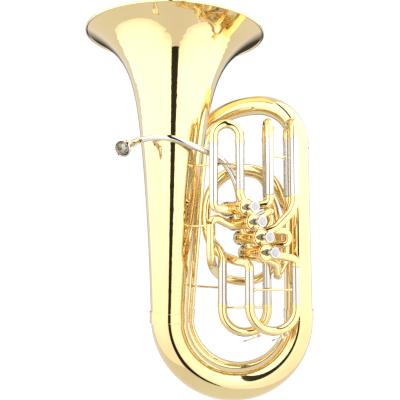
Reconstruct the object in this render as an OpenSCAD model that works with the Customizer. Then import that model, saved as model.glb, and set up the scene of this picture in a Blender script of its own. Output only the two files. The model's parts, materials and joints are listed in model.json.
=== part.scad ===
// Tuba with four front-action piston valves, bell up.
// The valve side faces -Y. The bell's axis and the two outer bows lie near the plane Y = 0.

/* [Bell] */
// Outer radius of the bell's rim
rim_r = 219; // [214:0.5:222]
// Height of the rim above the lowest point
rim_z = 885; // [860:1:900]
// Outer radius of the bell at its foot
foot_r = 43.5; // [42:0.5:45]
// Widening of the bell just above its foot, in mm per mm of length
bell_taper = 0.045; // [0.04:0.001:0.05]
// How fast that widening grows, in mm per mm of length squared
bell_growth = 0.00008; // [0.00006:0.00001:0.0001]
// Distance over which the flare falls to about a third
flare_len = 53; // [48:1:58]
// Thickness of the bell's sheet
bell_wall = 0.7; // [0.5:0.1:1]
// Lean of the bell's axis towards the valves, in degrees
bell_lean = 1; // [0.5:0.1:1.5]
// Thickness of the wire that the rim is rolled around
rim_wire = 5.6; // [4:0.2:7]

/* [Bows and branches] */
// Radius of the bottom bow's centre line
bow_r = 156; // [154:1:158]
// Outer radius of the tube where the bottom bow meets the outer branch
bow_end_r = 30; // [29:0.5:31]
// Outer radius of the tube where the outer branch meets the top bow
branch_top_r = 25; // [24:0.5:26]
// Outer radius of the tube where the top bow meets the inner branch
inner_top_r = 21; // [20:0.5:22]
// Outer radius of the tube where the inner branch meets the inner bow
inner_foot_r = 18; // [17:0.5:18.5]
// Outer radius of the tube where the inner bow meets the right inner branch
inner_end_r = 16; // [15:0.5:16.5]
// Thickness of the bow and branch walls
bow_wall = 0.8; // [0.6:0.1:1.2]

/* [Slides] */
// Outer radius of the sleeves and the small tubing
tube_r = 10.3; // [10:0.1:10.5]
// Radius of the sleeves' bore
sleeve_bore_r = 9.6; // [9.4:0.05:9.7]
// Running clearance between a sleeve and the leg in it
slide_gap = 0.05; // [0.03:0.01:0.1]
// Thickness of the walls of the legs and the small tubing
tube_wall = 0.7; // [0.5:0.1:1]

/* [Valves] */
// Radius of the casings' bore
valve_bore_r = 14.05; // [13.9:0.05:14.2]
// Running clearance between a casing and its piston
piston_gap = 0.05; // [0.03:0.01:0.1]
// Length of a casing without its caps
casing_len = 84; // [83:0.5:86]
// Length of a piston
piston_len = 54; // [50:1:55]
// How far a piston travels when its button is pressed
valve_travel = 20; // [18:0.5:20]
// Turn of the valves' axes away from straight forward, in degrees
valve_turn = 30; // [28:1:32]

/* [Mouthpiece] */
// Outer radius of the mouthpiece's rim
mouth_rim_r = 19.5; // [18.5:0.5:20]
// Length of the mouthpiece
mouth_len = 72; // [70:1:74]

/* [Hidden] */
$fn = 64;

// Colours
lacquered_brass = [0.90, 0.72, 0.34];
nickel_silver = [0.80, 0.79, 0.75];
pearl_white = [0.94, 0.94, 0.96];
felt_colour = [0.06, 0.06, 0.07];
cork_colour = [0.72, 0.53, 0.34];
steel_colour = [0.62, 0.62, 0.64];

// Bell and bow layout
foot = [-73.6, 0, bow_r + (foot_r + bow_end_r) / 2 - 0.15];
bell_len = (rim_z - foot[2]) / cos(bell_lean);
sheet_len = bell_len - rim_wire / 2;
bell_flare = rim_r - rim_wire / 2 - foot_r - bell_taper * sheet_len - bell_growth * pow(sheet_len, 2);
bow_end = foot + [2 * bow_r, 0, 0];
branch_top = [bow_end[0], 0, 617];
top_bow_r = 100;
top_bow_centre = branch_top - [top_bow_r, 0, 0];
inner_top = [-1, 88, 617];
inner_foot = [-34, 56, 191];
inner_end = [225, 50, 191];
inner_right_top = [224, 50, 420];
inner_right_top_r = 13;
ferrule_wall = 1.8;
// Straight lead at the ends of the bows, and where the neighbouring tube starts
bow_lead = 3;
joint_lap = 3.2;

// Slide layout: each pair of legs, its ferrule level, the sleeves' far ends and the bow's side
first_legs = [[31, -88], [91.5, -88]];
third_legs = [[159, -88], [158, -40]];
upper_legs = [[215.5, -88], [208, -40]];
main_legs = [[52.3, -48], [155.5, -48]];
lower_legs = [[112.8, -74], [218.8, -74]];
first_level = 599;
third_level = 614;
main_level = 229;
lower_level = 230;
leg_len = 88;
lower_leg_len = 70;
collar_len = 7;
collar_r = tube_r + 1;
leg_r = sleeve_bore_r - slide_gap;

// Valve layout: the middle of each casing's top end
casing_r = valve_bore_r + 1.6;
cap_r = 17;
valve_tops = [[103.5, -113, 449], [119.5, -113, 416], [135.5, -113, 382], [146.5, -113, 348]];
valve_dir = [sin(valve_turn), -cos(valve_turn), 0];
knuckle_depth = 48;
stem_r = 3.6;
button_r = 12;
button_h = 6;
button_gap = valve_travel + 9;
pearl_r = 9;
rest_gap = 3;
cap_floor = 3;

// Second slide: a short loop that points up and to the right
second_turn = 25;
second_start = [100, 0, 413.5];
second_legs = [-90, -56];
second_sleeve = 47.6;
second_leg_len = 19;

// Mouthpiece: middle of the rim and direction into the leadpipe
mouth_at = [-171, -152, 575];
mouth_turn = [-69, 0, -21];
shank_in = 27;

// Water keys, in the frame of the crook's surface
key_turn = -72;
key_post_h = 8.4;
key_pin_r = 1;
key_pivot = [0, 0, 6.5];
key_reach = 22;
nipple_x = 12;
nipple_h = 3;
cork_h = 2.4;

brace_r = 2.4;
brace_foot_r = 4.6;
brace_sink = 0.2;

// ---- Curves ----

function unit(v) = v / norm(v);

// Direction of a path at its point i
function along(p, i) = let (last = len(p) - 1)
    i == 0 ? unit(p[1] - p[0]) :
    i == last ? unit(p[last] - p[last - 1]) :
    unit(unit(p[i + 1] - p[i]) + unit(p[i] - p[i - 1]));

// A sideways direction at each point, carried along the path without twist
function square_to(v, t) = unit(v - (v * t) * t);
function sideways(p, first) = [
    for (i = 0, s = square_to(first, along(p, 0)); i < len(p);
        i = i + 1, s = i < len(p) ? square_to(s, along(p, i)) : s) s];

// Length along a path up to each point
function run(p) = [
    for (i = 0, d = 0; i < len(p);
        i = i + 1, d = i < len(p) ? d + norm(p[i] - p[i - 1]) : d) d];

// Smooth curve through control points
function spline_point(a, b, c, d, t) =
    0.5 * (2 * b + (c - a) * t + (2 * a - 5 * b + 4 * c - d) * t * t
        + (3 * b - a - 3 * c + d) * t * t * t);
function spline(c, steps) = let (last = len(c) - 1) [
    for (i = [0 : last - 1], k = [0 : steps - 1])
        spline_point(i == 0 ? 2 * c[0] - c[1] : c[i - 1], c[i], c[i + 1],
            i == last - 1 ? 2 * c[last] - c[last - 1] : c[i + 2], k / steps),
    c[last]];

// Centre line of a bent tube: straight runs joined by arcs of one radius
function corner(a, b, c, r, steps) =
    let (u = unit(a - b), v = unit(c - b), half = acos(u * v) / 2,
        centre = b + unit(u + v) * r / sin(half),
        from = b + u * r / tan(half) - centre, to = b + v * r / tan(half) - centre,
        turn = 180 - 2 * half)
    [for (k = [0 : steps])
        centre + (from * sin(turn * (1 - k / steps)) + to * sin(turn * k / steps)) / sin(turn)];
function bent(c, r, steps = 5) = let (last = len(c) - 1) [
    for (i = [0 : last])
        each i == 0 || i == last ? [c[i]] : corner(c[i - 1], c[i], c[i + 1], r, steps)];

// ---- Shared solids ----

// Round tube swept along a path, widening evenly from radius r0 to r1
module swept_tube(path, r0, r1, wall, sides) {
    count = len(path);
    lengths = run(path);
    side = sideways(path, [0.1, 1, 0.05]);
    function ring(i, inset) =
        let (r = r0 + (r1 - r0) * lengths[i] / lengths[count - 1] - inset,
            u = side[i], v = cross(along(path, i), u))
        [for (k = [0 : sides - 1])
            path[i] + r * (u * cos(360 * k / sides) + v * sin(360 * k / sides))];
    outer = [for (i = [0 : count - 1]) each ring(i, 0)];
    inner = [for (i = [0 : count - 1]) each ring(i, wall)];
    back = count * sides;
    last = (count - 1) * sides;
    polyhedron(points = concat(outer, inner), convexity = 8, faces = concat(
        [for (i = [0 : count - 2], k = [0 : sides - 1]) let (n = (k + 1) % sides)
            [i * sides + k, (i + 1) * sides + k, (i + 1) * sides + n, i * sides + n]],
        [for (i = [0 : count - 2], k = [0 : sides - 1]) let (n = (k + 1) % sides)
            [back + i * sides + k, back + i * sides + n,
                back + (i + 1) * sides + n, back + (i + 1) * sides + k]],
        [for (k = [0 : sides - 1]) let (n = (k + 1) % sides)
            [k, n, back + n, back + k]],
        [for (k = [0 : sides - 1]) let (n = (k + 1) % sides)
            [last + k, back + last + k, back + last + n, last + n]]));
}

// Wire swept along a path
module swept_wire(path, r, sides) {
    count = len(path);
    side = sideways(path, [0.1, 1, 0.05]);
    points = [for (i = [0 : count - 1]) let (u = side[i], v = cross(along(path, i), u))
        for (k = [0 : sides - 1])
            path[i] + r * (u * cos(360 * k / sides) + v * sin(360 * k / sides))];
    polyhedron(points = points, convexity = 8, faces = concat(
        [for (i = [0 : count - 2], k = [0 : sides - 1]) let (n = (k + 1) % sides)
            [i * sides + k, (i + 1) * sides + k, (i + 1) * sides + n, i * sides + n]],
        [[for (k = [0 : sides - 1]) k]],
        [[for (k = [sides - 1 : -1 : 0]) (count - 1) * sides + k]]));
}

// Places its children with their Z axis running from a towards b
module aim(a, b) {
    d = b - a;
    translate(a) rotate([0, acos(d[2] / norm(d)), atan2(d[1], d[0])]) children();
}

module rod(a, b, r) {
    aim(a, b) cylinder(h = norm(b - a), r = r);
}

// Straight tube from a to b
module straight_tube(a, b, ra, rb, wall) {
    aim(a, b) difference() {
        cylinder(h = norm(b - a), r1 = ra, r2 = rb);
        translate([0, 0, -1]) cylinder(h = norm(b - a) + 2,
            r1 = ra - wall - (rb - ra) / norm(b - a), r2 = rb - wall + (rb - ra) / norm(b - a));
    }
}

// Ferrule around a joint at p, facing along d, fitting a tube of radius r
module ferrule(p, d, r, len) {
    translate(p) aim([0, 0, 0], d) translate([0, 0, -len / 2]) rotate_extrude() {
        translate([r + 0.3, 0]) square([ferrule_wall - 0.3, len]);
        translate([r + ferrule_wall, len * 0.12]) circle(r = 0.8, $fn = 16);
        translate([r + ferrule_wall, len * 0.88]) circle(r = 0.8, $fn = 16);
    }
}

// Rod with a round foot at each end, between two tubes with axes through a and b
module brace(a, b, ra, rb) {
    u = unit(b - a);
    from = a + u * (ra - brace_sink);
    to = b - u * (rb - brace_sink);
    rod(from, to, brace_r);
    rod(from, from + u * 3, brace_foot_r);
    rod(to - u * 3, to, brace_foot_r);
}

// ---- Bell, bows and branches ----

function bell_radius(s) =
    foot_r + bell_taper * s + bell_growth * s * s + bell_flare * exp((s - sheet_len) / flare_len);

// Heights along the bell's axis, closer together towards the rim
bell_steps = 34;
function bell_height(i) = joint_lap + (sheet_len - joint_lap) * (1 - pow(1 - i / bell_steps, 1.7));

module on_bell_axis() {
    translate(foot) rotate([0, bell_lean, 0]) children();
}

module bell() {
    outside = [for (i = [0 : bell_steps]) let (s = bell_height(i)) [bell_radius(s), s]];
    inside = [for (i = [bell_steps : -1 : 0]) let (s = bell_height(i))
        [bell_radius(s) - bell_wall, s]];
    color(lacquered_brass) on_bell_axis() rotate_extrude($fn = 128)
        polygon(concat(outside, inside));
}

module bell_rim() {
    r = rim_wire / 2;
    color(lacquered_brass) on_bell_axis() translate([0, 0, bell_len - r]) rotate_extrude($fn = 128)
        translate([rim_r - r, 0]) difference() {
            circle(r = r, $fn = 32);
            translate([-r, r * 0.85]) square([2 * r, r]);
        }
}

module bottom_bow() {
    arc = [for (i = [0 : 24]) let (a = 180 + i * 7.5)
        foot + [bow_r * (1 + cos(a)), 0, bow_r * sin(a)]];
    color(lacquered_brass) swept_tube(
        concat([foot + [0, 0, bow_lead]], arc, [bow_end + [0, 0, bow_lead]]),
        foot_r, bow_end_r, bow_wall, 24);
}

module outer_branch() {
    color(lacquered_brass) straight_tube(bow_end + [0, 0, joint_lap], branch_top - [0, 0, joint_lap],
        bow_end_r, branch_top_r, bow_wall);
}

module top_bow() {
    left_reach = top_bow_centre[0] - inner_top[0];
    arc = [for (i = [0 : 20]) let (a = i * 9, reach = a < 90 ? top_bow_r : left_reach)
        top_bow_centre + [reach * cos(a), inner_top[1] * (1 - cos(a)) / 2, top_bow_r * sin(a)]];
    color(lacquered_brass) swept_tube(
        concat([branch_top - [0, 0, bow_lead]], arc,
            [inner_top - bow_lead * unit(inner_top - inner_foot)]),
        branch_top_r, inner_top_r, bow_wall, 20);
}

module inner_branch_left() {
    u = unit(inner_top - inner_foot);
    color(lacquered_brass) straight_tube(inner_foot + joint_lap * u, inner_top - joint_lap * u,
        inner_foot_r, inner_top_r, bow_wall);
}

module inner_bottom_bow() {
    mid = (inner_foot + inner_end) / 2;
    half = (inner_end[0] - inner_foot[0]) / 2;
    arc = [for (i = [0 : 20]) let (a = 180 + i * 9)
        mid + [half * cos(a), (inner_end[1] - inner_foot[1]) / 2 * (i / 10 - 1), half * sin(a)]];
    color(lacquered_brass) swept_tube(
        concat([inner_foot + bow_lead * unit(inner_top - inner_foot)], arc,
            [inner_end + [0, 0, bow_lead]]),
        inner_foot_r, inner_end_r, bow_wall, 18);
}

module inner_branch_right() {
    color(lacquered_brass) straight_tube(inner_end + [0, 0, joint_lap], inner_right_top - [0, 0, 0.2],
        inner_end_r, inner_right_top_r, bow_wall);
}

module ferrules() {
    left_run = inner_top - inner_foot;
    color(lacquered_brass) {
        ferrule(foot + [0, 0, 1], [0, 0, 1], foot_r + 0.6, 28);
        ferrule(bow_end + [0, 0, 6], [0, 0, 1], bow_end_r, 26);
        ferrule(branch_top - [0, 0, 6], [0, 0, 1], branch_top_r + 0.1, 22);
        ferrule(inner_top - 6 * unit(left_run), left_run, inner_top_r, 22);
        ferrule(inner_foot + 6 * unit(left_run), left_run, inner_foot_r + 0.2, 22);
        ferrule(inner_end + [0, 0, 6], [0, 0, 1], inner_end_r, 22);
    }
}

// ---- Loops behind the valves ----

main_ring_route = [[52.3, -48, 326], [52.3, -48, 331], [52, -47.6, 337], [44, -42, 354], [28, -32, 374],
    [17, -22, 402], [14, -14, 440], [21, -10, 482], [42, -8, 520], [74, -7, 543],
    [108, -6, 550], [142, -4, 544], [172, 0, 526], [192, 10, 498], [205, 20, 474],
    [216, 38, 452], [224, 50, 434], [224, 50, 427], [224, 50, 420]];

module main_ring() {
    color(lacquered_brass) swept_tube(spline(main_ring_route, 2), tube_r, inner_right_top_r,
        tube_wall, 14);
}

coil_route = [[25, -74, 412], [25, -74, 385], [25, -74, 352], [26, -66, 330], [30, -40, 316],
    [38, -10, 302], [54, 12, 288], [80, 22, 280], [108, 24, 277], [138, 24, 282],
    [166, 24, 298], [184, 24, 326], [190, 26, 365], [190, 29, 410], [182, 33, 462],
    [167, 34, 508], [146, 30, 536], [108, 28, 545], [72, 28, 538], [42, 27, 515],
    [22, 25, 478], [15, 22, 430], [18, 14, 392], [32, 4, 360], [52, -12, 342],
    [71, -34, 333], [88, -57, 327]];
coil_end = [lower_legs[0][0], lower_legs[0][1], 306];
coil_corner = coil_end + [0, 0, 17];

module fourth_valve_coil() {
    start = coil_route[len(coil_route) - 1];
    color(lacquered_brass) swept_tube(concat(spline(coil_route, 2),
        corner(start, coil_corner, coil_end, 13, 5), [coil_end]), tube_r, tube_r, tube_wall, 12);
}

// ---- Leadpipe and mouthpiece ----

module at_mouth() {
    translate(mouth_at) rotate(mouth_turn) children();
}

// Direction of the mouthpiece's axis, into the leadpipe
mouth_dir = [-sin(mouth_turn[0]) * sin(-mouth_turn[2]), -sin(mouth_turn[0]) * cos(mouth_turn[2]),
    cos(mouth_turn[0])];
receiver_end = mouth_at + mouth_dir * 84;

leadpipe_route = [receiver_end, receiver_end + mouth_dir * 6, [-122, -79, 610],
    [-103, -87, 612], [-82, -92, 611], [-56, -92, 607], [-32, -88, 599], [-9, -79, 590],
    [19, -66, 581], [43, -58, 570], [64, -54, 550], [80, -55, 522], [89, -61, 493],
    [92, -67, 466], [86, -66, 448]];

module leadpipe() {
    color(nickel_silver) difference() {
        swept_tube(spline(leadpipe_route, 2), 6.6, 9, tube_wall, 12);
        valve_solid(0, casing_r);
    }
}

module mouthpiece_receiver() {
    color(nickel_silver) at_mouth() translate([0, 0, mouth_len - shank_in]) difference() {
        union() {
            cylinder(h = 39, r1 = 8.6, r2 = 8);
            for (z = [0, 33]) translate([0, 0, z]) cylinder(h = 5, r = 9.6);
        }
        translate([0, 0, -0.01]) cylinder(h = shank_in + 0.5, r1 = 6.76, r2 = 6.36);
        cylinder(h = 40, r = 5.9);
    }
}

module mouthpiece() {
    outside = [[mouth_rim_r - 2, 0], [mouth_rim_r, 1.6], [mouth_rim_r, 3.4], [mouth_rim_r - 2.2, 6],
        [mouth_rim_r - 2.8, 12], [mouth_rim_r - 4.4, 19], [mouth_rim_r - 8, 27], [9.4, 33],
        [7.4, 38], [6.7, mouth_len - shank_in], [6.3, mouth_len]];
    inside = [[4.6, mouth_len], [3.9, 46], [3.9, 36], [7, 30], [12, 22], [14.6, 13],
        [15.6, 4], [16.6, 1]];
    color(nickel_silver) at_mouth() rotate_extrude() polygon(concat(outside, inside));
}

// ---- Valves ----

// Places its children in a valve's own frame: Z runs out of the casing towards the button
module at_valve(i) {
    translate(valve_tops[i]) rotate([90, 0, valve_turn]) children();
}

module valve_solid(i, r) {
    at_valve(i) translate([0, 0, -casing_len - 8]) cylinder(h = casing_len + 16, r = r);
}

module valve_casing(i) {
    color(lacquered_brass) at_valve(i) difference() {
        translate([0, 0, -casing_len]) union() {
            cylinder(h = casing_len, r = casing_r);
            for (z = [16, casing_len - 20]) translate([0, 0, z]) cylinder(h = 3, r = casing_r + 0.7);
        }
        translate([0, 0, -casing_len - 1]) cylinder(h = casing_len + 2, r = valve_bore_r);
    }
}

module top_caps() {
    color(lacquered_brass) for (i = [0 : 3]) at_valve(i) difference() {
        union() {
            translate([0, 0, -6]) cylinder(h = 9, r = cap_r);
            translate([0, 0, -6]) rotate_extrude() translate([cap_r, 2]) circle(r = 0.7, $fn = 16);
            translate([0, 0, 3]) cylinder(h = 2, r1 = cap_r, r2 = 9);
        }
        translate([0, 0, -7]) cylinder(h = 7, r = casing_r);
        translate([0, 0, -0.01]) cylinder(h = 6, r = stem_r + 0.9);
    }
}

module bottom_caps() {
    color(nickel_silver) for (i = [0 : 3]) at_valve(i) translate([0, 0, -casing_len])
        difference() {
            union() {
                translate([0, 0, -cap_floor]) cylinder(h = 11, r = cap_r);
                translate([0, 0, -cap_floor - 2]) cylinder(h = 2, r1 = 12, r2 = 15.5);
                translate([0, 0, -cap_floor - 4]) cylinder(h = 4, r = 4);
                for (z = [0.5, 5]) translate([0, 0, z]) rotate_extrude()
                    translate([cap_r, 0]) circle(r = 0.7, $fn = 16);
            }
            cylinder(h = 10, r = casing_r);
        }
}

module felt_washers() {
    color(felt_colour) for (i = [0 : 3]) at_valve(i) translate([0, 0, 5]) difference() {
        cylinder(h = 1.8, r = 8);
        translate([0, 0, -1]) cylinder(h = 4, r = stem_r + 0.9);
    }
}

module piston(i) {
    r = valve_bore_r - piston_gap;
    color(nickel_silver) at_valve(i) translate([0, 0, -rest_gap - piston_len]) difference() {
        union() {
            difference() {
                cylinder(h = piston_len, r = r);
                translate([0, 0, 3]) cylinder(h = piston_len - 6, r = r - 1);
            }
            intersection() {
                cylinder(h = piston_len, r = r - 0.3);
                for (z = [16, 38]) translate([0, 0, z]) rotate([0, 90, 0])
                    translate([0, 0, -r]) cylinder(h = 2 * r, r = 8.2);
            }
        }
        for (z = [16, 38]) translate([0, 0, z]) rotate([0, 90, 0])
            translate([0, 0, -r - 1]) cylinder(h = 2 * r + 2, r = 7.4);
    }
}

module button(i) {
    color(nickel_silver) at_valve(i) difference() {
        union() {
            translate([0, 0, -rest_gap]) cylinder(h = button_gap + rest_gap, r = stem_r);
            translate([0, 0, button_gap - 2]) cylinder(h = 2, r1 = stem_r, r2 = button_r - 3);
            translate([0, 0, button_gap]) cylinder(h = button_h, r = button_r);
        }
        translate([0, 0, button_gap + button_h - 2.2]) cylinder(h = 3, r = pearl_r);
    }
}

module pearl(i) {
    base = button_gap + button_h - 2.2;
    dome_r = 24;
    color(pearl_white) at_valve(i) translate([0, 0, base]) intersection() {
        cylinder(h = 6, r = pearl_r - 0.05);
        translate([0, 0, 3.6 - dome_r]) sphere(r = dome_r);
    }
}

module valve_spring(i) {
    turns = 5;
    steps = 10;
    wire_r = 0.7;
    coil_r = 10;
    bottom = -casing_len + wire_r + 0.05;
    top = -rest_gap - piston_len - wire_r - 0.05;
    path = [for (k = [0 : turns * steps]) let (t = k / (turns * steps))
        [coil_r * cos(360 * turns * t), coil_r * sin(360 * turns * t), bottom + (top - bottom) * t]];
    color(steel_colour) at_valve(i) swept_wire(path, wire_r, 5);
}

// Short ports that join each casing to the next
module valve_knuckles() {
    color(lacquered_brass) for (i = [0 : 2]) {
        a = valve_tops[i] - valve_dir * knuckle_depth;
        b = valve_tops[i + 1] - valve_dir * knuckle_depth;
        shift = (b - a) * valve_dir;
        difference() {
            rod(a, b - valve_dir * shift, tube_r);
            rod(a, b - valve_dir * shift, tube_r - tube_wall);
            valve_solid(i, casing_r);
            valve_solid(i + 1, casing_r);
        }
    }
}

// ---- Slides ----

// Fixed pair of sleeves: from level to far, each with a ring at its open end
module sleeve_pair(legs, level, fars) {
    color(nickel_silver) for (k = [0, 1]) {
        low = min(level, fars[k]);
        high = max(level, fars[k]);
        translate([legs[k][0], legs[k][1], 0]) difference() {
            union() {
                translate([0, 0, low]) cylinder(h = high - low, r = tube_r);
                translate([0, 0, level > fars[k] ? level - 5 : level])
                    cylinder(h = 5, r = tube_r + 0.6);
            }
            translate([0, 0, low - 1]) cylinder(h = high - low + 2, r = sleeve_bore_r);
        }
    }
}

// Moving slide: two legs, two collars and a half-round bow; way is 1 for up and -1 for down
module slide_loop(legs, level, way, rise, len = leg_len) {
    a = [legs[0][0], legs[0][1], 0];
    b = [legs[1][0], legs[1][1], 0];
    half = norm(b - a) / 2;
    mid = (a + b) / 2;
    gap = 0.2;
    color(lacquered_brass) translate(mid + [0, 0, level])
        rotate([0, 0, atan2((b - a)[1], (b - a)[0])]) mirror([0, 0, way < 0 ? 1 : 0]) {
            for (side = [-1, 1]) translate([side * half, 0, 0]) {
                difference() {
                    translate([0, 0, -len]) cylinder(h = len + collar_len, r = leg_r);
                    translate([0, 0, -len - 1]) cylinder(h = len + collar_len + 2,
                        r = leg_r - tube_wall);
                }
                translate([0, 0, gap]) difference() {
                    cylinder(h = collar_len - gap, r = collar_r);
                    translate([0, 0, -1]) cylinder(h = collar_len + 2, r = leg_r - 0.1);
                }
                if (rise > collar_len) translate([0, 0, collar_len]) difference() {
                    cylinder(h = rise - collar_len, r = tube_r);
                    translate([0, 0, -1]) cylinder(h = rise - collar_len + 2, r = tube_r - 1.4);
                }
            }
            translate([0, 0, rise]) rotate([90, 0, 0]) rotate_extrude(angle = 180)
                translate([half, 0]) difference() {
                    circle(r = tube_r);
                    circle(r = tube_r - 1.4);
                }
        }
}

module first_slide_sleeves() { sleeve_pair(first_legs, first_level, [462, 492]); }
module third_slide_sleeves() { sleeve_pair(third_legs, third_level, [480, 480]); }
module fourth_upper_sleeves() { sleeve_pair(upper_legs, third_level, [480, 480]); }
module main_slide_sleeves() { sleeve_pair(main_legs, main_level, [326, 318]); }
module fourth_lower_sleeves() { sleeve_pair(lower_legs, lower_level, [306, 315]); }

module first_slide() { slide_loop(first_legs, first_level, 1, 14); }
module third_slide() { slide_loop(third_legs, third_level, 1, 13); }
module fourth_upper_slide() { slide_loop(upper_legs, third_level, 1, 13); }

module main_tuning_slide() {
    difference() {
        union() {
            slide_loop(main_legs, main_level, -1, 13);
            color(lacquered_brass) difference() {
                rod([main_legs[0][0], main_legs[0][1], main_level - 8],
                    [main_legs[1][0], main_legs[1][1], main_level - 8], brace_r);
                for (leg = main_legs) translate([leg[0], leg[1], main_level - 20])
                    cylinder(h = 30, r = tube_r - 0.5);
            }
            water_key_seat(main_legs, main_level - 13);
        }
        water_hole(main_legs, main_level - 13);
    }
}

module fourth_lower_slide() {
    difference() {
        union() {
            slide_loop(lower_legs, lower_level, -1, 7, lower_leg_len);
            water_key_seat(lower_legs, lower_level - 7);
        }
        water_hole(lower_legs, lower_level - 7);
    }
}

// Second slide, in a frame whose Z runs along its legs
module on_second_axis(y) {
    translate([second_start[0], y, second_start[2]]) rotate([0, 90 - second_turn, 0]) children();
}

module second_slide_sleeves() {
    color(nickel_silver) for (k = [0, 1]) difference() {
        on_second_axis(second_legs[k]) cylinder(h = second_sleeve, r = tube_r - 1.5);
        on_second_axis(second_legs[k]) translate([0, 0, -1])
            cylinder(h = second_sleeve + 2, r = tube_r - 2.1);
        valve_solid(1, casing_r);
        valve_solid(0, casing_r + 0.6);
    }
}

module second_slide() {
    half = (second_legs[1] - second_legs[0]) / 2;
    r = tube_r - 2.1 - slide_gap;
    color(lacquered_brass) {
        for (y = second_legs) on_second_axis(y) translate([0, 0, second_sleeve]) {
            difference() {
                translate([0, 0, -second_leg_len]) cylinder(h = second_leg_len + 4, r = r);
                translate([0, 0, -second_leg_len - 1]) cylinder(h = second_leg_len + 6,
                    r = r - tube_wall);
            }
            translate([0, 0, 0.2]) difference() {
                cylinder(h = 3.8, r = tube_r - 0.9);
                translate([0, 0, -1]) cylinder(h = 6, r = r - 0.1);
            }
        }
        on_second_axis((second_legs[0] + second_legs[1]) / 2) translate([0, 0, second_sleeve + 4])
            rotate([90, 0, 90]) rotate_extrude(angle = 180) translate([half, 0]) difference() {
                circle(r = tube_r - 1.5);
                circle(r = tube_r - 2.7);
            }
    }
}

// ---- Tubing between the valves and the slides ----

module casing_cuts(list) {
    difference() {
        children();
        for (i = list) valve_solid(i, casing_r);
    }
}

module first_valve_tubing() {
    right = [first_legs[1][0], first_legs[1][1], 492];
    left = [first_legs[0][0], first_legs[0][1], 462];
    color(lacquered_brass) casing_cuts([0]) union() {
        swept_tube(bent([right, right - [0, 0, 12], [97, -89, 466], [95, -91, 450]], 14),
            tube_r - 0.5, tube_r - 0.5, tube_wall, 12);
        swept_tube(bent([left, left - [0, 0, 14], [72, -74, 443]], 14),
            tube_r - 0.5, tube_r - 0.5, tube_wall, 12);
    }
    color(lacquered_brass) casing_cuts([1]) swept_tube(
        bent([coil_route[0], [25, -74, 432], [64, -67, 414], [86, -63, 411]], 13),
        tube_r - 0.5, tube_r - 0.5, tube_wall, 12);
}

module third_valve_tubing() {
    front = [third_legs[0][0], third_legs[0][1], 480];
    rear = [third_legs[1][0], third_legs[1][1], 480];
    color(lacquered_brass) {
        casing_cuts([0]) swept_tube(bent([front, front - [0, 0, 20.5], [98, -79, 447]], 14),
            tube_r - 1, tube_r - 1, tube_wall, 12);
        casing_cuts([2]) swept_tube(
            bent([rear, rear - [0, 0, 20], [166, -36, 420], [142, -44, 381], [106, -48, 380]], 15),
            tube_r - 1, tube_r - 1, tube_wall, 12);
        // Crook on the third casing, a fixed half-round loop
        casing_cuts([2, 3]) swept_tube(
            bent([[112, -69, 386], [168, -68, 398], [204, -60, 396], [204, -60, 367],
                [176, -56, 365], [126, -51, 354]], 14.4, 6), tube_r - 1.4, tube_r - 1.4, tube_wall, 12);
    }
}

module fourth_valve_tubing() {
    front = [upper_legs[0][0], upper_legs[0][1], 480];
    rear = [upper_legs[1][0], upper_legs[1][1], 480];
    right = [lower_legs[1][0], lower_legs[1][1], 315];
    color(lacquered_brass) {
        casing_cuts([2]) swept_tube(
            bent([front, front - [0, 0, 20], [206, -89, 438], [172, -89, 404], [124, -89, 384]], 26),
            tube_r, tube_r - 1, tube_wall, 12);
        casing_cuts([3]) swept_tube(bent([rear, rear - [0, 0, 16], [205, -22, 425], [203, -22, 330],
            [182, -30, 294], [180, -58, 294], [176, -68, 320], [134, -72, 343]], 13),
            tube_r - 1, tube_r - 1, tube_wall, 12);
        casing_cuts([3]) swept_tube(bent([right, right + [0, 0, 17], [190, -85, 339],
            [138, -89, 344]], 13), tube_r - 1, tube_r - 1, tube_wall, 12);
    }
}

module main_tubing() {
    right = [main_legs[1][0], main_legs[1][1], 318];
    color(lacquered_brass) casing_cuts([3]) swept_tube(
        bent([right, right + [0, 0, 12], [114, -56, 340]], 13), tube_r, tube_r - 1, tube_wall, 12);
}

// ---- Water keys ----

// Places its children on the outside of a down-facing bow, Z pointing away from the bow
module at_key(legs, level) {
    half = norm(legs[1] - legs[0]) / 2;
    translate([(legs[0][0] + legs[1][0]) / 2, legs[0][1], level])
        rotate([0, 90 - key_turn, 0]) translate([0, 0, half + tube_r]) rotate([0, 0, 180])
            children();
}

module water_key_seat(legs, level) {
    color(nickel_silver) at_key(legs, level) {
        translate([nipple_x, 0, -2]) cylinder(h = nipple_h + 2, r = 3.4);
        for (side = [-1, 1]) translate([-2, side * 5 - 0.8, -2.2]) cube([4, 1.6, key_post_h + 2.2]);
        translate(key_pivot) rotate([90, 0, 0]) translate([0, 0, -5.4])
            cylinder(h = 10.8, r = key_pin_r);
    }
}

module water_hole(legs, level) {
    at_key(legs, level) translate([nipple_x, 0, -6]) cylinder(h = nipple_h + 8, r = 1.8);
}

module water_key(legs, level) {
    color(nickel_silver) at_key(legs, level) difference() {
        union() {
            translate(key_pivot) rotate([90, 0, 0]) translate([0, 0, -4]) cylinder(h = 8, r = 2.3);
            translate([-key_reach, -2, key_pivot[2] - 1]) cube([key_reach + nipple_x, 4, 2]);
            translate([-key_reach, 0, key_pivot[2] - 1]) cylinder(h = 2, r = 4.6);
            translate([nipple_x, 0, key_pivot[2] - 1]) cylinder(h = 2, r = 4);
        }
        translate(key_pivot) rotate([90, 0, 0]) translate([0, 0, -5])
            cylinder(h = 10, r = key_pin_r + 0.05);
    }
}

module water_key_cork(legs, level) {
    color(cork_colour) at_key(legs, level) translate([nipple_x, 0, nipple_h + 0.05])
        cylinder(h = cork_h, r = 3.6);
}

module main_water_key() { water_key(main_legs, main_level - 13); }
module main_water_key_cork() { water_key_cork(main_legs, main_level - 13); }
module fourth_water_key() { water_key(lower_legs, lower_level - 7); }
module fourth_water_key_cork() { water_key_cork(lower_legs, lower_level - 7); }

// ---- Braces ----

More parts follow.
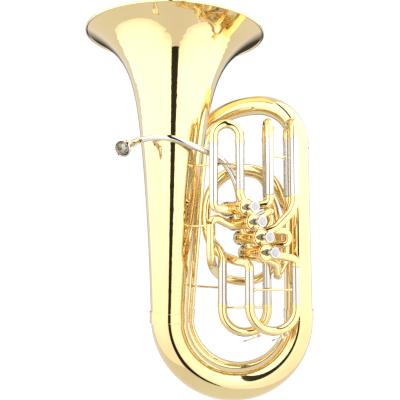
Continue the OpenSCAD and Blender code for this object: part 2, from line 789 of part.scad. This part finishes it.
function bell_axis_at(z) = [foot[0] + (z - foot[2]) * tan(bell_lean), 0, z];
function leg_at(leg, z) = [leg[0], leg[1], z];

module braces() {
    branch_r = (bow_end_r + branch_top_r) / 2;
    color(lacquered_brass) {
        brace(bell_axis_at(550), leg_at(first_legs[0], 550), bell_radius(550 - foot[2]), tube_r);
        brace(leg_at(first_legs[0], 550), leg_at(first_legs[1], 550), tube_r, tube_r);
        brace(leg_at(third_legs[0], 570), leg_at(upper_legs[1], 570), tube_r, tube_r);
        brace(bell_axis_at(409), [25, -74, 409], bell_radius(409 - foot[2]), tube_r);
        brace([31, -62, 575.7], leg_at(first_legs[0], 575.7), 7.8, tube_r);
        brace([-28, 61, 264], leg_at(main_legs[0], 266), 18.6, tube_r);
        brace(leg_at(lower_legs[0], 263), leg_at(lower_legs[1], 263), tube_r, tube_r);
        brace([bow_end[0], 0, 290], leg_at(lower_legs[1], 290), branch_r + 1.2, tube_r);
        brace([branch_top[0], 0, 590], leg_at(upper_legs[1], 590), branch_top_r + 0.3, tube_r);
    }
}

bell();
bell_rim();
bottom_bow();
outer_branch();
top_bow();
inner_branch_left();
inner_bottom_bow();
inner_branch_right();
ferrules();
main_ring();
fourth_valve_coil();
leadpipe();
mouthpiece_receiver();
mouthpiece();
valve_casing(0);  // valve_casing_1
valve_casing(1);  // valve_casing_2
valve_casing(2);  // valve_casing_3
valve_casing(3);  // valve_casing_4
top_caps();
bottom_caps();
felt_washers();
valve_knuckles();
first_valve_tubing();
third_valve_tubing();
fourth_valve_tubing();
main_tubing();
first_slide_sleeves();
second_slide_sleeves();
third_slide_sleeves();
fourth_upper_sleeves();
fourth_lower_sleeves();
main_slide_sleeves();
braces();
piston(0);  // piston_1
piston(1);  // piston_2
piston(2);  // piston_3
piston(3);  // piston_4
button(0);  // button_1
button(1);  // button_2
button(2);  // button_3
button(3);  // button_4
pearl(0);  // pearl_1
pearl(1);  // pearl_2
pearl(2);  // pearl_3
pearl(3);  // pearl_4
valve_spring(0);  // valve_spring_1
valve_spring(1);  // valve_spring_2
valve_spring(2);  // valve_spring_3
valve_spring(3);  // valve_spring_4
first_slide();
second_slide();
third_slide();
fourth_upper_slide();
fourth_lower_slide();
main_tuning_slide();
main_water_key();
main_water_key_cork();
fourth_water_key();
fourth_water_key_cork();
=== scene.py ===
"""Looks for the tuba: polished brass and nickel silver between two curved lit diffusers."""

import json
import math

import bmesh
import bpy
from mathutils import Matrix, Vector


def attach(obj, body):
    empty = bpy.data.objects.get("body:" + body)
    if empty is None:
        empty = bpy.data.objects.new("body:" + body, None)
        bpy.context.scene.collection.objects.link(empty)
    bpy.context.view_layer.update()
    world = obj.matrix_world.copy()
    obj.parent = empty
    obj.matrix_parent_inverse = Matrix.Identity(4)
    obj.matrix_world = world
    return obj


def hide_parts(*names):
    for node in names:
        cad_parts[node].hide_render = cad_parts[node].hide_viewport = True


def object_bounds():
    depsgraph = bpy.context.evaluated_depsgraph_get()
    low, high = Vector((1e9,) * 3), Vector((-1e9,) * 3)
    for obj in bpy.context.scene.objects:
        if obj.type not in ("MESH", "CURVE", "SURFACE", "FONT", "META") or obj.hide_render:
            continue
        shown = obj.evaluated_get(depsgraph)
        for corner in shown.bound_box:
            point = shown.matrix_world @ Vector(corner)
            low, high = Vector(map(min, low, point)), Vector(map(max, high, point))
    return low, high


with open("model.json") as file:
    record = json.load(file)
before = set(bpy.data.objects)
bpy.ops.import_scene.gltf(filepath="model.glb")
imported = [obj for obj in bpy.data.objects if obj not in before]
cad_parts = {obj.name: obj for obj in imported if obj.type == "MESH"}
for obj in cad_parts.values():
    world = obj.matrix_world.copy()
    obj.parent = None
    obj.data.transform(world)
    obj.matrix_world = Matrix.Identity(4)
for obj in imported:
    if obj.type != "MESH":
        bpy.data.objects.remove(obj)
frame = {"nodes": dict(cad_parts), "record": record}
CAD_BOX = [list(corner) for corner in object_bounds()]
SCENE = bpy.context.scene
NODES = frame["nodes"]
RECORD = frame["record"]
BODY_OF = {node: body for body, nodes in RECORD["behaviour"]["bodies"].items() for node in nodes}
SLOT_OF = {row["node"]: row["material_slot"] for row in RECORD["subparts"]}


# ---- Materials -------------------------------------------------------------------------------

def new_material(name):
    """A node material with a Principled shader; returns it, its node tree and the shader."""
    material = bpy.data.materials.new(name)
    material.use_nodes = True
    tree = material.node_tree
    return material, tree, tree.nodes["Principled BSDF"]


def object_noise(tree, scale, detail=3.0, stretch=(1, 1, 1)):
    """Noise in object space, in metres, so that its scale doesn't depend on UVs."""
    place = tree.nodes.new("ShaderNodeTexCoord")
    mapping = tree.nodes.new("ShaderNodeMapping")
    mapping.inputs["Scale"].default_value = stretch
    noise = tree.nodes.new("ShaderNodeTexNoise")
    noise.inputs["Scale"].default_value = scale
    noise.inputs["Detail"].default_value = detail
    tree.links.new(place.outputs["Object"], mapping.inputs["Vector"])
    tree.links.new(mapping.outputs["Vector"], noise.inputs["Vector"])
    return noise.outputs["Fac"]


def ramp(tree, fac, stops):
    """Colour ramp with (position, colour) stops."""
    node = tree.nodes.new("ShaderNodeValToRGB")
    points = node.color_ramp.elements
    while len(points) < len(stops):
        points.new(0.5)
    for point, (position, colour) in zip(points, stops):
        point.position = position
        point.color = (*colour, 1)
    tree.links.new(fac, node.inputs["Fac"])
    return node.outputs["Color"]


def spread(tree, fac, low, high, start=0.3, end=0.7):
    """fac between start and end, spread from low to high."""
    node = tree.nodes.new("ShaderNodeMapRange")
    node.inputs["From Min"].default_value = start
    node.inputs["From Max"].default_value = end
    node.inputs["To Min"].default_value = low
    node.inputs["To Max"].default_value = high
    tree.links.new(fac, node.inputs["Value"])
    return node.outputs["Result"]


def bump(tree, shader, height, strength, distance):
    node = tree.nodes.new("ShaderNodeBump")
    node.inputs["Strength"].default_value = strength
    node.inputs["Distance"].default_value = distance
    tree.links.new(height, node.inputs["Height"])
    tree.links.new(node.outputs["Normal"], shader.inputs["Normal"])


def polished_metal(name, dark, light, rough, grain=1.0):
    """Polished metal: tint drifts slowly, polish varies a little, with faint buffing marks."""
    material, tree, shader = new_material(name)
    shader.inputs["Metallic"].default_value = 1.0
    shader.inputs["Coat Weight"].default_value = 0.7
    shader.inputs["Coat Roughness"].default_value = 0.04
    shader.inputs["Coat IOR"].default_value = 1.7
    tint = ramp(tree, object_noise(tree, 9, 4), [(0.35, dark), (0.65, light)])
    tree.links.new(tint, shader.inputs["Base Color"])
    tree.links.new(spread(tree, object_noise(tree, 60, 5), rough * 0.7, rough * 1.5),
                   shader.inputs["Roughness"])
    bump(tree, shader, object_noise(tree, 900, 2, (1, 1, 0.12)), 0.02 * grain, 0.0002)
    return material


def pearl_material():
    """Mother of pearl: cloudy bands of white, lilac and pale green under a clear gloss."""
    material, tree, shader = new_material("mother_of_pearl")
    clouds = ramp(tree, object_noise(tree, 210, 6, (1, 1.8, 0.7)), [
        (0.30, (0.27, 0.265, 0.32)), (0.45, (0.38, 0.385, 0.42)), (0.58, (0.44, 0.44, 0.455)),
        (0.72, (0.34, 0.37, 0.385))])
    tree.links.new(clouds, shader.inputs["Base Color"])
    tree.links.new(spread(tree, object_noise(tree, 160), 0.12, 0.3), shader.inputs["Roughness"])
    shader.inputs["Coat Weight"].default_value = 0.8
    shader.inputs["Coat Roughness"].default_value = 0.05
    shader.inputs["Sheen Weight"].default_value = 0.15
    bump(tree, shader, object_noise(tree, 400), 0.08, 0.0003)
    return material


def felt_material():
    material, tree, shader = new_material("pressed_felt")
    fibres = ramp(tree, object_noise(tree, 1500, 6), [
        (0.3, (0.16, 0.155, 0.15)), (0.7, (0.30, 0.29, 0.28))])
    tree.links.new(fibres, shader.inputs["Base Color"])
    shader.inputs["Roughness"].default_value = 0.95
    shader.inputs["Sheen Weight"].default_value = 0.1
    bump(tree, shader, object_noise(tree, 2500, 4), 0.8, 0.0005)
    return material


def cork_material():
    material, tree, shader = new_material("natural_cork")
    grains = tree.nodes.new("ShaderNodeTexVoronoi")
    grains.inputs["Scale"].default_value = 1400
    place = tree.nodes.new("ShaderNodeTexCoord")
    tree.links.new(place.outputs["Object"], grains.inputs["Vector"])
    colour = ramp(tree, grains.outputs["Distance"], [
        (0.0, (0.34, 0.19, 0.09)), (0.25, (0.62, 0.42, 0.23)), (1.0, (0.74, 0.55, 0.34))])
    tree.links.new(colour, shader.inputs["Base Color"])
    shader.inputs["Roughness"].default_value = 0.85
    bump(tree, shader, grains.outputs["Distance"], 0.5, 0.0004)
    return material


def steel_material():
    material, tree, shader = new_material("spring_wire")
    shader.inputs["Metallic"].default_value = 1.0
    colour = ramp(tree, object_noise(tree, 300, 4), [
        (0.3, (0.38, 0.38, 0.40)), (0.7, (0.62, 0.62, 0.64))])
    tree.links.new(colour, shader.inputs["Base Color"])
    tree.links.new(spread(tree, object_noise(tree, 700), 0.25, 0.4), shader.inputs["Roughness"])
    return material


MATERIALS = {
    "lacquered_brass": polished_metal("lacquered_brass", (0.79, 0.60, 0.275), (0.85, 0.665, 0.32), 0.045),
    "nickel_silver": polished_metal("nickel_silver", (0.55, 0.52, 0.465), (0.64, 0.61, 0.55), 0.06),
    "pearl": pearl_material(),
    "felt": felt_material(),
    "cork": cork_material(),
    "spring_steel": steel_material(),
}


# ---- Pieces ----------------------------------------------------------------------------------

def dress(piece, slot):
    piece.data.materials.clear()
    piece.data.materials.append(MATERIALS[slot])


def link(name, mesh):
    piece = bpy.data.objects.new(name, mesh)
    SCENE.collection.objects.link(piece)
    return piece


def stand_in(name, mesh, node, *more):
    """Makes a piece from a mesh, in place of CAD nodes on one body."""
    piece = link(name, mesh)
    dress(piece, SLOT_OF[node])
    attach(piece, BODY_OF[node])
    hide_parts(node, *more)
    return piece


def smooth(mesh, angle=40):
    mesh.polygons.foreach_set("use_smooth", [True] * len(mesh.polygons))
    mesh.set_sharp_from_angle(angle=math.radians(angle))


def quad_mesh(node):
    """The node's mesh with its corners joined and its triangles paired into quads."""
    mesh = NODES[node].data.copy()
    bm = bmesh.new()
    bm.from_mesh(mesh)
    bmesh.ops.remove_doubles(bm, verts=bm.verts, dist=2e-6)
    bmesh.ops.dissolve_degenerate(bm, edges=bm.edges, dist=1e-6)
    bmesh.ops.join_triangles(bm, faces=bm.faces, angle_face_threshold=math.radians(30),
                             angle_shape_threshold=math.radians(60))
    crease = bm.edges.layers.float.new("crease_edge")
    for edge in bm.edges:
        if len(edge.link_faces) == 2 and edge.calc_face_angle(0) > math.radians(50):
            edge[crease] = 1.0
    bm.to_mesh(mesh)
    bm.free()
    return mesh


def evaluated(piece):
    return bpy.data.meshes.new_from_object(
        piece.evaluated_get(bpy.context.evaluated_depsgraph_get()))


def rounded(node, levels=2, passes=3):
    """A swept tube as a smooth surface through the CAD node's own corners."""
    mesh = quad_mesh(node)
    piece = link("smooth_" + node, mesh)
    subdivide = piece.modifiers.new("round", "SUBSURF")
    subdivide.levels = subdivide.render_levels = levels
    wanted = [corner.co.copy() for corner in mesh.vertices]
    for _ in range(passes):
        found = evaluated(piece)
        for corner, goal, now in zip(mesh.vertices, wanted, found.vertices):
            corner.co += goal - now.co
        bpy.data.meshes.remove(found)
        mesh.update()
    final = evaluated(piece)
    bpy.data.objects.remove(piece)
    smooth(final, 60)
    return stand_in("smooth_" + node, final, node)


SWEPT = ["bell", "bottom_bow", "top_bow", "inner_bottom_bow", "main_ring", "fourth_valve_coil",
         "leadpipe", "first_valve_tubing", "third_valve_tubing", "fourth_valve_tubing",
         "main_tubing"]
for swept in SWEPT:
    rounded(swept)

for node, cad in NODES.items():
    if node not in SWEPT:
        cad.data.materials.clear()
        cad.data.materials.append(MATERIALS[SLOT_OF[node]])


def world_corners(node):
    return [NODES[node].matrix_world @ corner.co for corner in NODES[node].data.vertices]


# Ridged grip on a top cap, in metres: how far its middle lies inside the casing's end, the
# furthest that the cap reaches from its axis, and the band's half height, chamfer and relief
GRIP_SET_BACK = 0.0015
CAP_REACH = 0.02
GRIP_HALF = 0.003
GRIP_CHAMFER = 0.0004
GRIP_SINK = 0.0008
GRIP_VALLEY, GRIP_CREST = 0.0001, 0.0005
GRIP_RIDGES = 60


def knurled_band(number):
    """Finely ridged grip round a top cap, centred on its valve's axis."""
    button = world_corners(f"button_{number}")
    caps = world_corners("top_caps")
    casing = world_corners(f"valve_casing_{number}")
    middle = sum(casing, Vector()) / len(casing)
    out = (sum(button, Vector()) / len(button) - middle).normalized()
    end = max((corner - middle).dot(out) for corner in casing)
    centre = middle + out * (end - GRIP_SET_BACK)
    offsets = [corner - centre for corner in caps]
    around = [(v - out * v.dot(out)).length for v in offsets if abs(v.dot(out)) < 2 * GRIP_HALF]
    radius = max(length for length in around if length < CAP_REACH)
    side = out.orthogonal().normalized()
    up = out.cross(side)
    tip = GRIP_HALF + GRIP_CHAMFER
    corners, faces = [], []
    for i in range(2 * GRIP_RIDGES):
        angle = math.pi * i / GRIP_RIDGES
        ray = side * math.cos(angle) + up * math.sin(angle)
        inner = radius - GRIP_SINK
        outer = radius + (GRIP_CREST if i % 2 else GRIP_VALLEY)
        for r, along in ((inner, -tip), (outer, -GRIP_HALF), (outer, GRIP_HALF), (inner, tip)):
            corners.append(centre + ray * r + out * along)
    count = len(corners)
    for i in range(0, count, 4):
        for k in range(4):
            following = (i + 4) % count
            faces.append((i + k, following + k, following + (k + 1) % 4, i + (k + 1) % 4))
    mesh = bpy.data.meshes.new(f"cap_grip_{number}")
    mesh.from_pydata(corners, [], faces)
    mesh.validate()
    bm = bmesh.new()
    bm.from_mesh(mesh)
    bmesh.ops.recalc_face_normals(bm, faces=bm.faces)
    bm.to_mesh(mesh)
    bm.free()
    piece = link(f"cap_grip_{number}", mesh)
    dress(piece, SLOT_OF["top_caps"])
    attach(piece, BODY_OF["top_caps"])


for valve in (1, 2, 3, 4):
    knurled_band(valve)


# ---- Floor, light and camera -----------------------------------------------------------------

FLOOR = CAD_BOX[0][2]
FLOOR_REACH = 30
# Brightness that reflections see: the room, the backdrop behind, and the diffusers' low and
# high parts; then what the camera itself sees behind the object
SURROUND = 0.9
BACKDROP = 0.05
SOFTBOX_LOW, SOFTBOX_HIGH = 1.2, 2.2
BACKGROUND = 1.05
# Heights of the diffusers' edges, and between which they get brighter
WALL_FOOT = FLOOR - 0.235
WALL_TOP = FLOOR + 2.5
WING_TOP = FLOOR + 0.79
FADE_FOOT, FADE_TOP = FLOOR - 0.1, FLOOR + 0.75
CAMERA_AT = (0, -1.475, FLOOR + 0.358)
CAMERA_TILT = math.radians(94.5)
CAMERA_LENS, CAMERA_SENSOR = 54.9, 36
# Plan of the two curved diffuser walls, from the dark slit in front to their back ends
SLIT = [(-0.16, -0.98), (0.13, -0.98)]
LEFT_WALL = [(-0.16, -0.98), (-0.18, -0.76), (-0.30, -0.47), (-0.45, -0.21), (-0.67, 0.02)]
LEFT_WING = [(-0.67, 0.02), (-1.05, 0.37), (-1.55, 0.92)]
RIGHT_WALL = [(0.13, -0.98), (0.19, -0.66), (0.25, -0.33), (0.44, -0.05), (0.74, 0.26),
              (1.24, 0.80)]


def shader_material(name, colour, rough=0.9, glow=0.0):
    material, tree, shader = new_material(name)
    shader.inputs["Base Color"].default_value = (*colour, 1)
    shader.inputs["Roughness"].default_value = rough
    shader.inputs["Emission Color"].default_value = (1, 1, 1, 1)
    shader.inputs["Emission Strength"].default_value = glow
    return material


def floor():
    """Pale floor; reflections look through it, as if the object stood on a glass table."""
    mesh = bpy.data.meshes.new("floor")
    signs = [(-1, -1), (1, -1), (1, 1), (-1, 1)]
    mesh.from_pydata([(FLOOR_REACH * x, FLOOR_REACH * y, FLOOR) for x, y in signs],
                     [], [(0, 1, 2, 3)])
    piece = link("floor", mesh)
    piece.data.materials.append(shader_material("pale_floor", (0.16, 0.16, 0.16), glow=0.86))
    piece.visible_glossy = False


def curve_through(points, steps=5):
    """Catmull-Rom curve through plan points."""
    ends = [2 * points[0] - points[1]] + points + [2 * points[-1] - points[-2]]
    curve = []
    for a, b, c, d in zip(ends, ends[1:], ends[2:], ends[3:]):
        for k in range(steps):
            t = k / steps
            curve.append(0.5 * (2 * b + (c - a) * t + (2 * a - 5 * b + 4 * c - d) * t * t
                                + (3 * b - a - 3 * c + d) * t * t * t))
    return curve + [points[-1]]


def wall(name, plan, material, top=WALL_TOP):
    """Upright wall along a plan curve, seen in reflections but not by the camera."""
    count = len(plan)
    corners = [(p.x, p.y, z) for z in (WALL_FOOT, top) for p in plan]
    faces = [(i, i + 1, count + i + 1, count + i) for i in range(count - 1)]
    mesh = bpy.data.meshes.new(name)
    mesh.from_pydata(corners, [], faces)
    piece = link(name, mesh)
    piece.data.materials.append(material)
    piece.visible_camera = False
    piece.visible_shadow = False


def diffuser():
    """Lit cloth that gets brighter with height."""
    material, tree, shader = new_material("diffuser")
    shader.inputs["Base Color"].default_value = (0, 0, 0, 1)
    shader.inputs["Emission Color"].default_value = (1, 1, 1, 1)
    place = tree.nodes.new("ShaderNodeTexCoord")
    split = tree.nodes.new("ShaderNodeSeparateXYZ")
    tree.links.new(place.outputs["Object"], split.inputs["Vector"])
    glow = spread(tree, split.outputs["Z"], SOFTBOX_LOW, SOFTBOX_HIGH, FADE_FOOT, FADE_TOP)
    tree.links.new(glow, shader.inputs["Emission Strength"])
    return material


def studio():
    glow = diffuser()
    black = shader_material("black_cloth", (0.004, 0.004, 0.004))
    for name, plan in (("left_wall", LEFT_WALL), ("right_wall", RIGHT_WALL)):
        wall(name, curve_through([Vector(p) for p in plan]), glow)
    wall("left_wing", curve_through([Vector(p) for p in LEFT_WING]), glow, WING_TOP)
    wall("dark_slit", [Vector(p) for p in SLIT], black)


def surroundings():
    """Even light all round with a dark backdrop behind; plain white to the camera."""
    world = bpy.data.worlds.new("surroundings")
    world.use_nodes = True
    tree = world.node_tree
    shader = tree.nodes["Background"]
    shader.inputs["Color"].default_value = (1, 1, 1, 1)
    ray = tree.nodes.new("ShaderNodeLightPath")
    place = tree.nodes.new("ShaderNodeTexCoord")
    split = tree.nodes.new("ShaderNodeSeparateXYZ")
    tree.links.new(place.outputs["Generated"], split.inputs["Vector"])
    room = spread(tree, split.outputs["Y"], SURROUND, BACKDROP, 0.86, 0.95)
    strength = tree.nodes.new("ShaderNodeMapRange")
    tree.links.new(room, strength.inputs["To Min"])
    strength.inputs["To Max"].default_value = BACKGROUND
    tree.links.new(ray.outputs["Is Camera Ray"], strength.inputs["Value"])
    tree.links.new(strength.outputs["Result"], shader.inputs["Strength"])
    SCENE.world = world


def camera():
    data = bpy.data.cameras.new("camera")
    data.sensor_width = CAMERA_SENSOR
    data.lens = CAMERA_LENS
    piece = bpy.data.objects.new("camera", data)
    piece.location = CAMERA_AT
    piece.rotation_euler = (CAMERA_TILT, 0, 0)
    SCENE.collection.objects.link(piece)
    SCENE.camera = piece


floor()
studio()
surroundings()
camera()
SCENE.view_settings.view_transform = "Standard"
SCENE.view_settings.look = "None"
